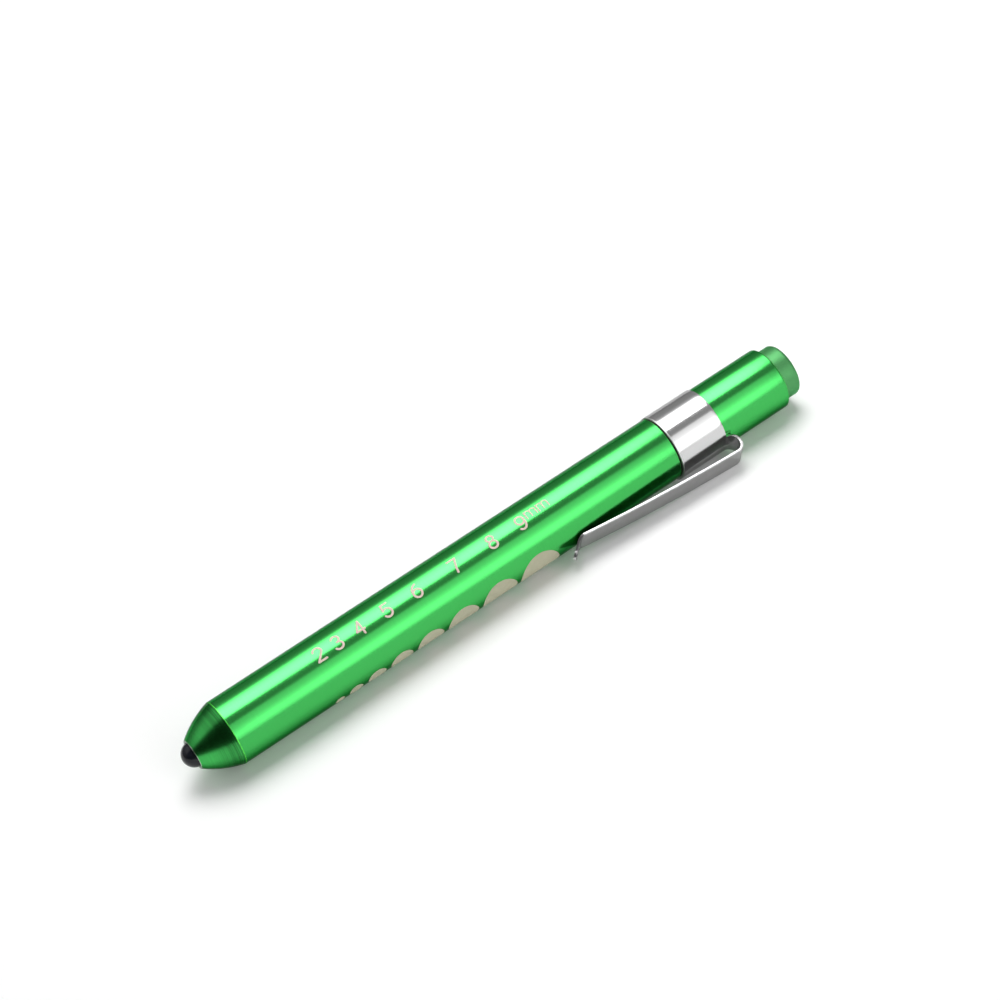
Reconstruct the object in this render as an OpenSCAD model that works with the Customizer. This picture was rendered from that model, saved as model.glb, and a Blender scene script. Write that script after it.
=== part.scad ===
// Penlight with a push-button tail, a spring clip and two AAA cells.
// The pen lies on its side as it rests on a table: barrel along X, nose towards -X,
// rolled until the clip's edge meets the table. Every piece is drawn on the pen's own
// axis with x = 0 at the tip of the lens, and lay() then puts it on the table.

/* [Cells] */
// Diameter of one AAA cell
cell_d = 10.4; // [10:0.1:11]
// Length of one AAA cell with its plus nub
cell_len = 44.5; // [42:0.5:48]
// Radial play of the cells in the barrel
cell_play = 0.3; // [0.2:0.05:0.6]

/* [Barrel] */
// Wall of the barrel round the cells
barrel_wall = 1.15; // [1.1:0.05:1.8]
// Length of the rounded-cone nose
nose_len = 7.3; // [6.8:0.1:9]
// Radius of the nose's round flank
nose_arc_r = 20; // [14:1:40]
// Width of the bright rim round the lens
rim_w = 0.45; // [0.3:0.05:0.8]
// Room behind the cells up to the barrel's rear end
spring_room = 5.79; // [5:0.01:8]

/* [Lamp] */
// Diameter of the lens
lens_d = 5; // [4.6:0.1:5.4]
// How far the lens stands out of the nose
lens_out = 2.15; // [1.5:0.05:2.4]
// Length of the LED from dome to flange
led_len = 8.6; // [8.2:0.1:9]
// Length of the plug behind the LED
holder_len = 6.6; // [5:0.1:10]

/* [Clip] */
// Thickness of the clip's strip and of its ring
clip_t = 0.5; // [0.4:0.05:0.5]
// Width of the clip's strip at its loop
clip_w = 5.3; // [4.5:0.1:6.5]
// Width of the clip's strip at its knee
knee_w = 5.1; // [4:0.1:5.2]
// Length of the arm between loop and knee
arm_len = 35.3; // [25:0.1:40]
// Inner radius of the loop behind the ring
loop_in_r = 1.4; // [1:0.02:1.6]
// Length of the lip past the knee
lip_len = 3.2; // [2.5:0.1:4]
// Length of the ring
ring_len = 10.66; // [8:0.1:14]
// How far the ring stands proud on the clip's side
ring_proud = 0.45; // [0.42:0.01:0.6]

/* [Tail] */
// Length of the tail behind the ring
tail_len = 16.15; // [14:0.1:20]
// Depth of the pocket that the button moves in
pocket_depth = 10.6; // [10:0.1:12]
// Length of the tail's threaded spigot inside the barrel
spigot_len = 4.7; // [4:0.1:4.8]
// Pitch of the tail's thread
thread_pitch = 0.75; // [0.5:0.05:1]

/* [Button] */
// How far the button stands out of the tail
button_out = 3.85; // [3:0.05:5]
// Travel of the button
stroke = 2; // [1:0.1:2.2]
// Wall of the tail round the button
button_wall_gap = 1; // [0.9:0.05:1.3]

/* [Hidden] */
$fn = 96;

// One overrun serves all cuts
cut = 0.5;
// Play of pieces that are pressed together
press_play = 0.02;
// Play of pieces that turn or slide on each other
run_play = 0.05;
// Gap between faces that come apart when the tail unscrews
seat_gap = 0.02;

// Radii of the barrel
bore_r = cell_d / 2 + cell_play;
barrel_r = bore_r + barrel_wall;
lens_r = lens_d / 2;
lens_hole_r = lens_r + run_play;
rim_r = lens_hole_r + rim_w;
flange_step = 0.4;
flange_t = 1;
flange_r = lens_r + flange_step;

// Places along the pen, from the tip of the lens
x_rim = lens_out;
x_crease = x_rim + nose_len;
x_holder = led_len;
x_contact = x_holder + holder_len;
front_contact_t = 0.6;
x_cell_1 = x_contact + front_contact_t;
x_cell_2 = x_cell_1 + cell_len;
x_cells_end = x_cell_2 + cell_len;
x_barrel_end = x_cells_end + spring_room;
gasket_t = 0.25;
x_ring = x_barrel_end + gasket_t;
x_tail = x_ring + ring_len;
x_tail_end = x_tail + tail_len;
x_end = x_tail_end + button_out;

// Ring: loose on the neck and pulled towards the clip, so it is nearly flush on the far side
ring_shift_share = 1 / 3;
ring_shift = ring_proud * ring_shift_share;
ring_r = barrel_r + ring_proud - ring_shift;
ring_in_r = ring_r - clip_t;
neck_r = barrel_r - clip_t - 2 * run_play;

// Tail: neck under the ring, spigot in the barrel, bore for the switch, pocket for the button
spigot_step = 0.3;
spigot_r = neck_r - spigot_step;
thread_bore_r = spigot_r + run_play;
thread_depth = 0.2;
thread_lead_in = 0.4;
spigot_wall = 0.55;
tail_bore_r = spigot_r - spigot_wall;
tail_r = barrel_r - 2 * run_play;
tail_edge_r = 0.35;
button_play = 0.1;
pocket_r = tail_r - button_wall_gap;
x_spigot = x_barrel_end - spigot_len;
x_pocket = x_tail_end - pocket_depth;
web_t = 1.5;
x_web = x_pocket - web_t;

// Clip: loop behind the ring, bowed arm, knee on the barrel and a flared lip
clip_split = 0.03;
strip_lap = 0.05;
loop_setback = 0.15;
loop_mid_r = loop_in_r + clip_t / 2;
arm_bow_r = 445;
knee_r = 1.8;
knee_gap = 0.05;
lip_angle = 38;
lip_tip_r = 1.1;
x_loop = x_tail + loop_setback;
y_leg = ring_r + ring_shift;
y_loop = y_leg + loop_in_r;

// Drop of the arm at its loop, so that the knee comes down just clear of the barrel
arm_turn = arm_len / arm_bow_r * 180 / PI;
lap_turn = strip_lap / arm_bow_r * 180 / PI;
drop_a = loop_mid_r - arm_bow_r;
drop_b = arm_bow_r + knee_r;
drop_c = barrel_r + knee_gap + knee_r + clip_t / 2 - y_loop;
drop_x = drop_a + drop_b * cos(arm_turn);
drop_y = drop_b * sin(arm_turn);
arm_drop = acos(drop_c / norm([drop_x, drop_y])) - atan2(drop_y, drop_x);

// Normal of the strip towards the pen's axis where it runs at a drop of a degrees
function strip_normal(a) = [sin(a), -cos(a)];
loop_c = [x_loop, y_loop];
arm_start = loop_c - loop_mid_r * strip_normal(arm_drop);
arm_c = arm_start + arm_bow_r * strip_normal(arm_drop);
knee_start = arm_c - arm_bow_r * strip_normal(arm_drop + arm_turn);
knee_c = knee_start - knee_r * strip_normal(arm_drop + arm_turn);
lip_start = knee_c + knee_r * strip_normal(-lip_angle);
lip_end = lip_start + lip_len * [-cos(lip_angle), sin(lip_angle)];

// How the pen lies: the clip's lower edge and the ring's proud side both touch the table
half_w = clip_w / 2;
clip_reach = y_loop + loop_in_r + clip_t;
loop_reach = clip_reach - ring_shift;
roll = asin(ring_r / norm([loop_reach, half_w])) - atan2(half_w, loop_reach);
near_y = clip_reach * cos(roll) + half_w * sin(roll);
far_y = ring_r - ring_shift * cos(roll);
lay_y = (near_y - far_y) / 2;
axis_z = ring_r + ring_shift * sin(roll);

// AAA cell
nub_r = 1.9;
nub_len = 0.9;
sleeve_t = 0.12;
base_t = 0.5;
base_rim = 1.2;
sleeve_lap = 0.6;
// The cells lie against the bore's wall on the clip's side
cell_sag = cell_play - run_play;

// LED legs, square wire
leg_w = 0.5;
leg_spacing = 2.54;
leg_play = 0.05;
leg_wall_len = 3.4;

// Brass parts
front_contact_inset = 2.2;
front_contact_r = cell_d / 2 - front_contact_inset;
keeper_len = 1.6;
keeper_wall = 1;
plate_gap = 0.7;
plate_r = tail_bore_r - keeper_wall - plate_gap;
plate_t = 0.6;

// Switch
switch_r = tail_bore_r - run_play;
switch_len = 10.8;
switch_wall = 1.55;
switch_rear_wall = 2.2;
cap_t = 1;
cavity_r = switch_r - switch_wall;
guide_rib_w = 0.9;
guide_rib_h = 0.5;
guide_rib_len = 4.2;
guide_ribs = 4;
guide_play = 0.12;
x_switch = x_web - switch_len;
x_cap = x_switch - cap_t;
x_plate = x_cap - plate_t;
x_rear_wall = x_web - switch_rear_wall;

// Plunger and rotor
stem_r = 1.9;
stem_play = 0.1;
head_t = 1.5;
head_r = cavity_r - guide_play;
cam_h = 0.7;
cam_root = 0.3;
cam_gap = 0.2;
cam_teeth = 8;
rotor_r = cavity_r - guide_rib_h - guide_play;
rotor_t = 1.8;
contact_gap = 0.06;
pin_r = 0.8;
pin_len = 2.3;
pin_to_cam = 0.7;
cam_in_r = pin_r + pin_to_cam;
x_head = x_rear_wall - run_play - head_t;
x_rotor_rear = x_head - 2 * cam_h - cam_gap;
x_rotor = x_rotor_rear - rotor_t;
x_rotor_tip = x_cap + stroke + contact_gap;

// Button
button_r = pocket_r - button_play;
button_edge_r = 0.8;
button_end_t = 1.6;
button_skirt_t = 0.9;
button_floor_gap = 0.45;
boss_r = 3.2;
boss_gap = 2;
x_button = x_pocket + stroke + button_floor_gap;
x_button_floor = x_end - button_end_t;
stem_end_gap = 0.1;

// Springs
spring_sides = 6;
spring_rings = 12;
battery_wire_r = 0.3;
battery_spring_front_inset = 1.6;
battery_spring_rear_inset = 0.1;
battery_spring_small_r = cell_d / 2 - base_rim - battery_spring_front_inset;
battery_spring_large_r = plate_r - battery_wire_r - battery_spring_rear_inset;
battery_spring_turns = 5;
switch_wire_r = 0.18;
switch_spring_inset = 0.78;
switch_spring_r = rotor_r - switch_spring_inset;
switch_spring_turns = 4;

// Nose of the rotor, which reaches through the spring and the cap to the contact plate
nose_clear = 0.82;
nose_hole_play = 0.4;
rotor_nose_r = switch_spring_r - switch_wire_r - nose_clear;
nose_hole_r = rotor_nose_r + nose_hole_play;

// Colours
green = [0.16, 0.62, 0.28];
matt_green = [0.27, 0.52, 0.32];
steel = [0.75, 0.75, 0.76];
brass = [0.8, 0.65, 0.3];
black = [0.07, 0.07, 0.08];
white = [0.9, 0.9, 0.88];
jacket = [0.25, 0.27, 0.3];
smoke = [0.08, 0.09, 0.11];

// Helpers

// Puts a piece that is drawn on the pen's axis on the table
module lay() {
  translate([-x_end / 2, lay_y, axis_z]) rotate([roll, 0, 0]) children();
}

// Solid rod along the pen's axis
module rod(x0, x1, r) {
  translate([x0, 0, 0]) rotate([0, 90, 0]) cylinder(h = x1 - x0, r = r);
}

// Tube along the pen's axis
module tube(x0, x1, r, in_r) {
  difference() {
    rod(x0, x1, r);
    rod(x0 - cut, x1 + cut, in_r);
  }
}

// Rod whose far end has a round edge
module round_rod(x0, x1, r, edge) {
  rotate([0, 90, 0]) rotate_extrude() union() {
    translate([0, x0]) square([r, x1 - edge - x0]);
    translate([0, x0]) square([r - edge, x1 - x0]);
    intersection() {
      translate([r - edge, x1 - edge]) circle(r = edge);
      translate([0, x0]) square([r, x1 - x0]);
    }
  }
}

// Square bar along the pen's axis at a height y
module bar(x0, x1, y, w) {
  translate([x0, y - w / 2, -w / 2]) cube([x1 - x0, w, w]);
}

// Spring: one round wire wound along the pen's axis
function coil_centre(u, x0, x1, r0, r1, turns) = [
  x0 + (x1 - x0) * u,
  (r0 + (r1 - r0) * u) * cos(360 * turns * u),
  (r0 + (r1 - r0) * u) * sin(360 * turns * u)
];
function coil_ring(u, x0, x1, r0, r1, turns, wire_r) = [
  for (k = [0 : spring_sides - 1])
    let (b = 360 * k / spring_sides, a = 360 * turns * u)
      coil_centre(u, x0, x1, r0, r1, turns)
        + wire_r * [sin(b), cos(b) * cos(a), cos(b) * sin(a)]
];
module coil(x0, x1, r0, r1, turns, wire_r) {
  rings = turns * spring_rings;
  points = [
    for (i = [0 : rings]) each coil_ring(i / rings, x0 + wire_r, x1 - wire_r, r0, r1, turns, wire_r)
  ];
  sides = [
    for (i = [0 : rings - 1], k = [0 : spring_sides - 1])
      let (a = i * spring_sides + k, b = i * spring_sides + (k + 1) % spring_sides)
        each [[a, b, b + spring_sides], [a, b + spring_sides, a + spring_sides]]
  ];
  last = rings * spring_sides;
  ends = [
    for (k = [1 : spring_sides - 2])
      each [[0, k + 1, k], [last, last + k, last + k + 1]]
  ];
  polyhedron(points = points, faces = concat(sides, ends));
}

// Ring of saw teeth on a face at x, pointing along +x or -x
module saw_teeth(x, r, dir) {
  tooth_w = 2 * PI * cam_in_r / cam_teeth;
  for (i = [0 : cam_teeth - 1])
    rotate([360 * i / cam_teeth, 0, 0])
      translate([x, 0, cam_in_r])
        linear_extrude(height = r - cam_in_r)
          polygon([
            [-dir * cam_root, -tooth_w / 2], [0, -tooth_w / 2],
            [dir * cam_h, tooth_w / 2], [-dir * cam_root, tooth_w / 2]
          ]);
}

// Flat shape in the clip's plane, given its width
module strip() {
  rotate([180, 0, 0]) translate([0, 0, -half_w]) linear_extrude(height = clip_w) children();
}

// Stretch of a bent strip: ring of the strip's thickness between two directions
module bend(centre, mid_r, from_dir, to_dir) {
  reach = 2 * (mid_r + clip_t);
  intersection() {
    translate(centre) difference() {
      circle(r = mid_r + clip_t / 2, $fn = 360);
      circle(r = mid_r - clip_t / 2, $fn = 360);
    }
    translate(centre) polygon([
      [0, 0],
      reach * [cos(from_dir), sin(from_dir)],
      reach * [cos((from_dir + to_dir) / 2), sin((from_dir + to_dir) / 2)],
      reach * [cos(to_dir), sin(to_dir)]
    ]);
  }
}

// One cell's pieces, with the plus nub towards the nose
module cell_can(x) translate([0, -cell_sag, 0]) {
  can_r = cell_d / 2 - sleeve_t;
  rod(x, x + nub_len + cut, nub_r);
  rod(x + nub_len, x + cell_len - base_t, can_r);
}
module cell_base(x) translate([0, -cell_sag, 0]) {
  rod(x + cell_len - base_t, x + cell_len, cell_d / 2 - base_rim);
}
module cell_sleeve(x) translate([0, -cell_sag, 0]) {
  can_r = cell_d / 2 - sleeve_t;
  tube(x + nub_len - sleeve_t, x + cell_len - base_t + sleeve_t, cell_d / 2, can_r);
  tube(x + nub_len - sleeve_t, x + nub_len, cell_d / 2, can_r - sleeve_lap);
  tube(x + cell_len - base_t, x + cell_len - base_t + sleeve_t, cell_d / 2, can_r - sleeve_lap);
}

// Nose and lamp

module nose_profile() {
  chord = [barrel_r - rim_r, nose_len];
  middle = [(barrel_r + rim_r) / 2, (x_rim + x_crease) / 2];
  inward = [-chord[1], chord[0]] / norm(chord);
  centre = middle + inward * sqrt(nose_arc_r * nose_arc_r - chord * chord / 4);
  intersection() {
    translate(centre) circle(r = nose_arc_r, $fn = 360);
    translate([0, x_rim]) square([barrel_r, nose_len]);
  }
}

module barrel() color(green) lay() difference() {
  union() {
    rotate([0, 90, 0]) rotate_extrude() nose_profile();
    rod(x_crease, x_barrel_end, barrel_r);
  }
  rod(x_rim - cut, x_holder, lens_hole_r);
  rod(x_holder - flange_t - run_play, x_holder + cut, flange_r + run_play);
  rod(x_holder, x_barrel_end + cut, bore_r);
  rod(x_spigot - run_play, x_barrel_end + cut, thread_bore_r);
}

module led_lens() color(smoke) lay() {
  translate([lens_r, 0, 0]) sphere(r = lens_r);
  rod(lens_r, x_holder, lens_r);
  rod(x_holder - flange_t, x_holder, flange_r);
}

module led_anode_lead() color(steel) lay() bar(x_holder, x_contact, leg_spacing / 2, leg_w);

module led_cathode_lead() color(steel) lay() {
  reach = bore_r - press_play;
  mirror([0, 1, 0]) {
    translate([x_holder, leg_spacing / 2 - leg_w / 2, -leg_w / 2])
      cube([leg_w, reach - leg_spacing / 2 - leg_w / 2, leg_w]);
    bar(x_holder, x_holder + leg_wall_len, reach - leg_w, leg_w);
  }
}

module led_holder() color(black) lay() difference() {
  slot = leg_w + 2 * leg_play;
  rod(x_holder, x_contact, bore_r - press_play);
  bar(x_holder - cut, x_contact + cut, leg_spacing / 2, slot);
  mirror([0, 1, 0]) {
    translate([x_holder - cut, leg_spacing / 2 - slot / 2, -slot / 2])
      cube([cut + leg_w + leg_play, bore_r, slot]);
    translate([x_holder - cut, bore_r - press_play - leg_w - slot / 2, -slot / 2])
      cube([cut + leg_wall_len + leg_play, bore_r, slot]);
  }
}

module front_contact() color(brass) lay() rod(x_contact, x_cell_1, front_contact_r);

// Cells

module front_cell_can() color(steel) lay() cell_can(x_cell_1);
module front_cell_base() color(steel) lay() cell_base(x_cell_1);
module front_cell_sleeve() color(jacket) lay() cell_sleeve(x_cell_1);
module rear_cell_can() color(steel) lay() cell_can(x_cell_2);
module rear_cell_base() color(steel) lay() cell_base(x_cell_2);
module rear_cell_sleeve() color(jacket) lay() cell_sleeve(x_cell_2);

// Ring and clip

module gasket() color(black) lay()
  tube(x_barrel_end + seat_gap, x_ring, barrel_r - gasket_t / 2, neck_r + run_play);

module clip_ring() color(steel) lay() {
  translate([0, -ring_shift, 0]) difference() {
    union() {
      rod(x_ring, x_tail - seat_gap, ring_r);
      intersection() {
        rod(x_ring, x_loop, ring_r);
        translate([x_ring, -ring_r, -half_w]) cube([x_loop - x_ring, ring_r, clip_w]);
      }
    }
    rod(x_ring - cut, x_loop + cut, ring_in_r);
  }
  strip() {
    bend(loop_c, loop_mid_r, -90, 0);
    translate([x_tail - clip_t, y_leg - clip_t]) square([x_loop - x_tail + clip_t, clip_t]);
  }
}

// Plan of the arm: it narrows from loop to knee, and its lip runs out in a round tip
module arm_plan() {
  tip_x = lip_end[0] + lip_tip_r;
  polygon([
    [x_loop + 2 * loop_mid_r, half_w], [x_loop, half_w], [knee_start[0], knee_w / 2],
    [tip_x, lip_tip_r], [tip_x, -lip_tip_r],
    [knee_start[0], -knee_w / 2], [x_loop, -half_w], [x_loop + 2 * loop_mid_r, -half_w]
  ]);
  translate([tip_x, 0]) circle(r = lip_tip_r);
}

module clip_arm() color(steel) lay() intersection() {
  strip() {
    difference() {
      bend(loop_c, loop_mid_r, 0, 90 + arm_drop);
      translate(loop_c) square([2 * loop_mid_r, clip_split]);
    }
    bend(arm_c, arm_bow_r, 90 + arm_drop - lap_turn, 90 + arm_drop + arm_turn + lap_turn);
    bend(knee_c, knee_r, 270 - lip_angle, 270 + arm_drop + arm_turn);
    translate(lip_start) rotate(-lip_angle) translate([-lip_len, -clip_t / 2])
      square([lip_len + strip_lap, clip_t]);
  }
  rotate([90, 0, 0]) linear_extrude(height = clip_reach + cut) arm_plan();
}

// Tail

module thread_grooves() {
  count = floor((spigot_len - 2 * thread_lead_in) / thread_pitch);
  x_first = x_spigot + thread_lead_in + thread_pitch / 2;
  for (i = [0 : count - 1])
    rotate([0, 90, 0]) rotate_extrude()
      translate([spigot_r, x_first + i * thread_pitch])
        polygon([[0, -thread_pitch / 2], [0, thread_pitch / 2], [-thread_depth, 0]]);
}

module tail_tube() color(green) lay() difference() {
  union() {
    rod(x_spigot, x_barrel_end + cut, spigot_r);
    rod(x_barrel_end + seat_gap, x_tail + cut, neck_r);
    round_rod(x_tail, x_tail_end, tail_r, tail_edge_r);
  }
  thread_grooves();
  rod(x_spigot - cut, x_web, tail_bore_r);
  rod(x_web - cut, x_pocket + cut, stem_r + 2 * stem_play);
  rod(x_pocket, x_tail_end + cut, pocket_r);
}

module battery_spring() color(steel) lay()
  coil(x_cells_end, x_plate, battery_spring_small_r, battery_spring_large_r, battery_spring_turns,
       battery_wire_r);

module contact_plate() color(brass) lay() rod(x_plate, x_cap, plate_r);

module retaining_ring() color(brass) lay()
  tube(x_cap - keeper_len, x_cap, tail_bore_r - press_play, tail_bore_r - keeper_wall);

// Switch

module switch_cap() color(white) lay() tube(x_cap, x_switch, switch_r, nose_hole_r);

module guide_ribs_at(x0, x1, w, in_r, out_r) {
  for (i = [0 : guide_ribs - 1])
    rotate([360 * i / guide_ribs, 0, 0])
      translate([x0, in_r, -w / 2]) cube([x1 - x0, out_r - in_r, w]);
}

module switch_body() color(white) lay() {
  difference() {
    rod(x_switch, x_web, switch_r);
    rod(x_switch - cut, x_rear_wall, cavity_r);
    rod(x_rear_wall - cut, x_web + cut, stem_r + stem_play);
  }
  guide_ribs_at(x_rear_wall - guide_rib_len, x_rear_wall, guide_rib_w, cavity_r - guide_rib_h,
                (cavity_r + switch_r) / 2);
}

module switch_spring() color(steel) lay()
  coil(x_switch, x_rotor, switch_spring_r, switch_spring_r, switch_spring_turns, switch_wire_r);

module switch_rotor() color(brass) lay() difference() {
  union() {
    rod(x_rotor, x_rotor_rear, rotor_r);
    rod(x_rotor_tip, x_rotor + cut, rotor_nose_r);
    saw_teeth(x_rotor_rear, rotor_r, 1);
  }
  rod(x_head - pin_len - run_play, x_head, pin_r + run_play);
}

module switch_plunger() color(black) lay() {
  difference() {
    union() {
      rod(x_head, x_head + head_t, head_r);
      saw_teeth(x_head, rotor_r, -1);
    }
    guide_ribs_at(x_head - cam_h - cut, x_head + head_t + cut, guide_rib_w + 2 * guide_play,
                  cavity_r - guide_rib_h - guide_play, cavity_r);
  }
  rod(x_head - pin_len, x_head + cut, pin_r);
  rod(x_head + head_t - cut, x_button_floor - stem_end_gap, stem_r);
}

module push_button() color(matt_green) lay() difference() {
  union() {
    difference() {
      round_rod(x_button, x_end, button_r, button_edge_r);
      rod(x_button - cut, x_button_floor, button_r - button_skirt_t);
    }
    rod(x_button + boss_gap, x_button_floor + cut, boss_r);
  }
  rod(x_button - cut, x_button_floor, stem_r + press_play);
}

barrel();
led_lens();
led_anode_lead();
led_cathode_lead();
led_holder();
front_contact();
front_cell_can();
front_cell_base();
front_cell_sleeve();
rear_cell_can();
rear_cell_base();
rear_cell_sleeve();
gasket();
clip_ring();
clip_arm();
tail_tube();
battery_spring();
contact_plate();
retaining_ring();
switch_cap();
switch_body();
switch_spring();
switch_rotor();
switch_plunger();
push_button();
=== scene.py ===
import math

import bmesh
import bpy
from mathutils import Matrix, Vector


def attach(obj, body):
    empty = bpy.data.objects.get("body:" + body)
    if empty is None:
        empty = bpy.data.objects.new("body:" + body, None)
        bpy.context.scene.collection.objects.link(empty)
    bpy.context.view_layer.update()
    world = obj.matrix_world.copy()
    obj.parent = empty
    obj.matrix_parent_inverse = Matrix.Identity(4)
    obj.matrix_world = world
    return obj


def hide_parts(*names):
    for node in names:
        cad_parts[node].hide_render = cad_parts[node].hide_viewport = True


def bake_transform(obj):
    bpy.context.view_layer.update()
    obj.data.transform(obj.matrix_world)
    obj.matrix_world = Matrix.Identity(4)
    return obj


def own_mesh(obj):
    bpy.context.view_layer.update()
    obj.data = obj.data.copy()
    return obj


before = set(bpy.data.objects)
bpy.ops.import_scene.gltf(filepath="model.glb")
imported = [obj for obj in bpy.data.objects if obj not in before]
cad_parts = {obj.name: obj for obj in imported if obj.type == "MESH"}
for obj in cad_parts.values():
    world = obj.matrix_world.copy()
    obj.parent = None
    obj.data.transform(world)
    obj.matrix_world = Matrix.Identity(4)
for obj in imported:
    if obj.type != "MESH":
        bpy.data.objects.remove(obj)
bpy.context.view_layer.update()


# The camera: it stands in front of the pen's nose half, looks down on it from the clip's side,
# and is rolled so that the pen runs up to the right through the picture.
camera_sight = Vector((0.00601, 0.00529, 0.0154))
camera_distance = 0.51707
camera_azimuth = math.radians(22.484)
camera_elevation = math.radians(39.241)
camera_roll = math.radians(-18.215)
camera_lens = 98.5

view_forward = Vector((
    math.sin(camera_azimuth) * math.cos(camera_elevation),
    math.cos(camera_azimuth) * math.cos(camera_elevation),
    -math.sin(camera_elevation),
))
level_right = Vector((math.cos(camera_azimuth), -math.sin(camera_azimuth), 0))
level_up = level_right.cross(view_forward)
view_right = math.cos(camera_roll) * level_right + math.sin(camera_roll) * level_up
view_up = view_right.cross(view_forward)
view_axes = Matrix((view_right, view_up, -view_forward)).transposed().to_4x4()

camera_data = bpy.data.cameras.new("camera")
camera_data.lens = camera_lens
camera_data.clip_start = 0.01
camera = bpy.data.objects.new("camera", camera_data)
camera.matrix_world = Matrix.Translation(camera_sight - camera_distance * view_forward) @ view_axes
bpy.context.collection.objects.link(camera)
bpy.context.scene.camera = camera
bpy.context.scene.view_settings.view_transform = "Standard"


# The barrel: one aluminium tube with a rounded-cone nose, turned in a lathe, polished, and
# anodised a bright clear green. The lamp's hole, the cells' bore and the rear thread's seat
# are bored from behind. Lengths are in mm along the pen, from the tip of the lamp.
MM = 0.001
pen_middle = 70.75
pen_y = 1.83627
pen_z = 7.01701
lathe_steps = 256


def pen_point(x, r, turn):
    """Point at x along the pen and r off its axis; turn runs from +Y up over +Z."""
    return Vector((x - pen_middle, pen_y + r * math.cos(turn), pen_z + r * math.sin(turn))) * MM


def new_piece(name, mesh, body, slot, *nodes):
    """Object in the shared frame that rides on a body and stands for CAD nodes."""
    piece = bpy.data.objects.new(name, mesh)
    bpy.context.collection.objects.link(piece)
    if body:
        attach(piece, body)
    if nodes:
        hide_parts(*nodes)
    return piece


def eased(profile, corners, steps=5):
    """Closed outline (x, r) with the corners named by place rounded to a radius."""
    outline = []
    for i, point in enumerate(profile):
        here = Vector(point)
        radius = corners.get(i, 0)
        if not radius:
            outline.append(here)
            continue
        back = (Vector(profile[i - 1]) - here).normalized()
        on = (Vector(profile[(i + 1) % len(profile)]) - here).normalized()
        half = back.angle(on) / 2
        reach = radius / math.tan(half)
        centre = here + (back + on).normalized() * radius / math.sin(half)
        first, last = here + back * reach - centre, here + on * reach - centre
        sweep = first.angle_signed(last)
        for k in range(steps + 1):
            outline.append(centre + Matrix.Rotation(-sweep * k / steps, 2) @ first)
    return outline


def finish_mesh(bm, name, sharp_angle=32):
    """Mesh with outward faces, smooth but for its sharp edges."""
    bmesh.ops.recalc_face_normals(bm, faces=bm.faces)
    mesh = bpy.data.meshes.new(name)
    bm.to_mesh(mesh)
    bm.free()
    for face in mesh.polygons:
        face.use_smooth = True
    mesh.set_sharp_from_angle(angle=math.radians(sharp_angle))
    return mesh


def turned(name, outline, relief=None, steps=lathe_steps):
    """Closed outline (x, r) spun round the pen's axis; relief(x, r, turn) shifts r."""
    bm = bmesh.new()
    rows = []
    for x, r in outline:
        row = []
        for k in range(steps):
            turn = 2 * math.pi * k / steps
            row.append(bm.verts.new(pen_point(x, r + (relief(x, r, turn) if relief else 0), turn)))
        rows.append(row)
    for i, row in enumerate(rows):
        after = rows[(i + 1) % len(rows)]
        for k in range(steps):
            bm.faces.new((row[k], row[(k + 1) % steps], after[(k + 1) % steps], after[k]))
    return finish_mesh(bm, name)


def shader_group(name, inputs, outputs):
    """Empty shader node group with float, colour or vector sockets."""
    group = bpy.data.node_groups.new(name, "ShaderNodeTree")
    for label, kind, value in inputs:
        group.interface.new_socket(label, in_out="INPUT", socket_type=kind).default_value = value
    for label, kind in outputs:
        group.interface.new_socket(label, in_out="OUTPUT", socket_type=kind)
    return group, group.nodes.new("NodeGroupInput"), group.nodes.new("NodeGroupOutput")


def add_node(tree, kind, inputs=(), **settings):
    """Node with its settings. Each input, by name or place, is set to a value or is fed by a
    socket or by another node's first output."""
    node = tree.nodes.new(kind)
    for key, value in settings.items():
        setattr(node, key, value)
    for key, value in dict(inputs).items():
        if isinstance(value, bpy.types.Node):
            value = value.outputs[0]
        if isinstance(value, bpy.types.NodeSocket):
            tree.links.new(value, node.inputs[key])
        else:
            node.inputs[key].default_value = value
    return node


def add_math(tree, operation, *terms):
    """Math node on values, sockets or nodes."""
    return add_node(tree, "ShaderNodeMath", enumerate(terms), operation=operation)


def add_fade(tree, value, start, end, low=0.0, high=1.0, **settings):
    """Map Range node that goes from low to high while its value goes from start to end."""
    limits = {"From Min": start, "From Max": end, "To Min": low, "To Max": high}
    return add_node(tree, "ShaderNodeMapRange", {"Value": value, **limits}, **settings)


# Lathe lines: fine rings round the pen's axis, as a turning tool leaves them
lathe_lines, lines_in, lines_out = shader_group(
    "lathe_lines",
    [("Lines per mm", "NodeSocketFloat", 6.0), ("Roughness", "NodeSocketFloat", 0.7)],
    [("Height", "NodeSocketFloat")],
)
lines_place = add_node(lathe_lines, "ShaderNodeTexCoord")
lines_split = add_node(lathe_lines, "ShaderNodeSeparateXYZ", {0: lines_place.outputs["Object"]})
lines_mm = add_math(lathe_lines, "MULTIPLY", lines_split.outputs["X"], 1 / MM)
lines_count = add_math(lathe_lines, "MULTIPLY", lines_mm, lines_in.outputs["Lines per mm"])
lines_noise = add_node(
    lathe_lines, "ShaderNodeTexNoise",
    {"W": lines_count, "Scale": 1.0, "Detail": 3.0, "Roughness": lines_in.outputs["Roughness"]},
    noise_dimensions="1D",
)
lathe_lines.links.new(lines_noise.outputs[0], lines_out.inputs["Height"])

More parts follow.
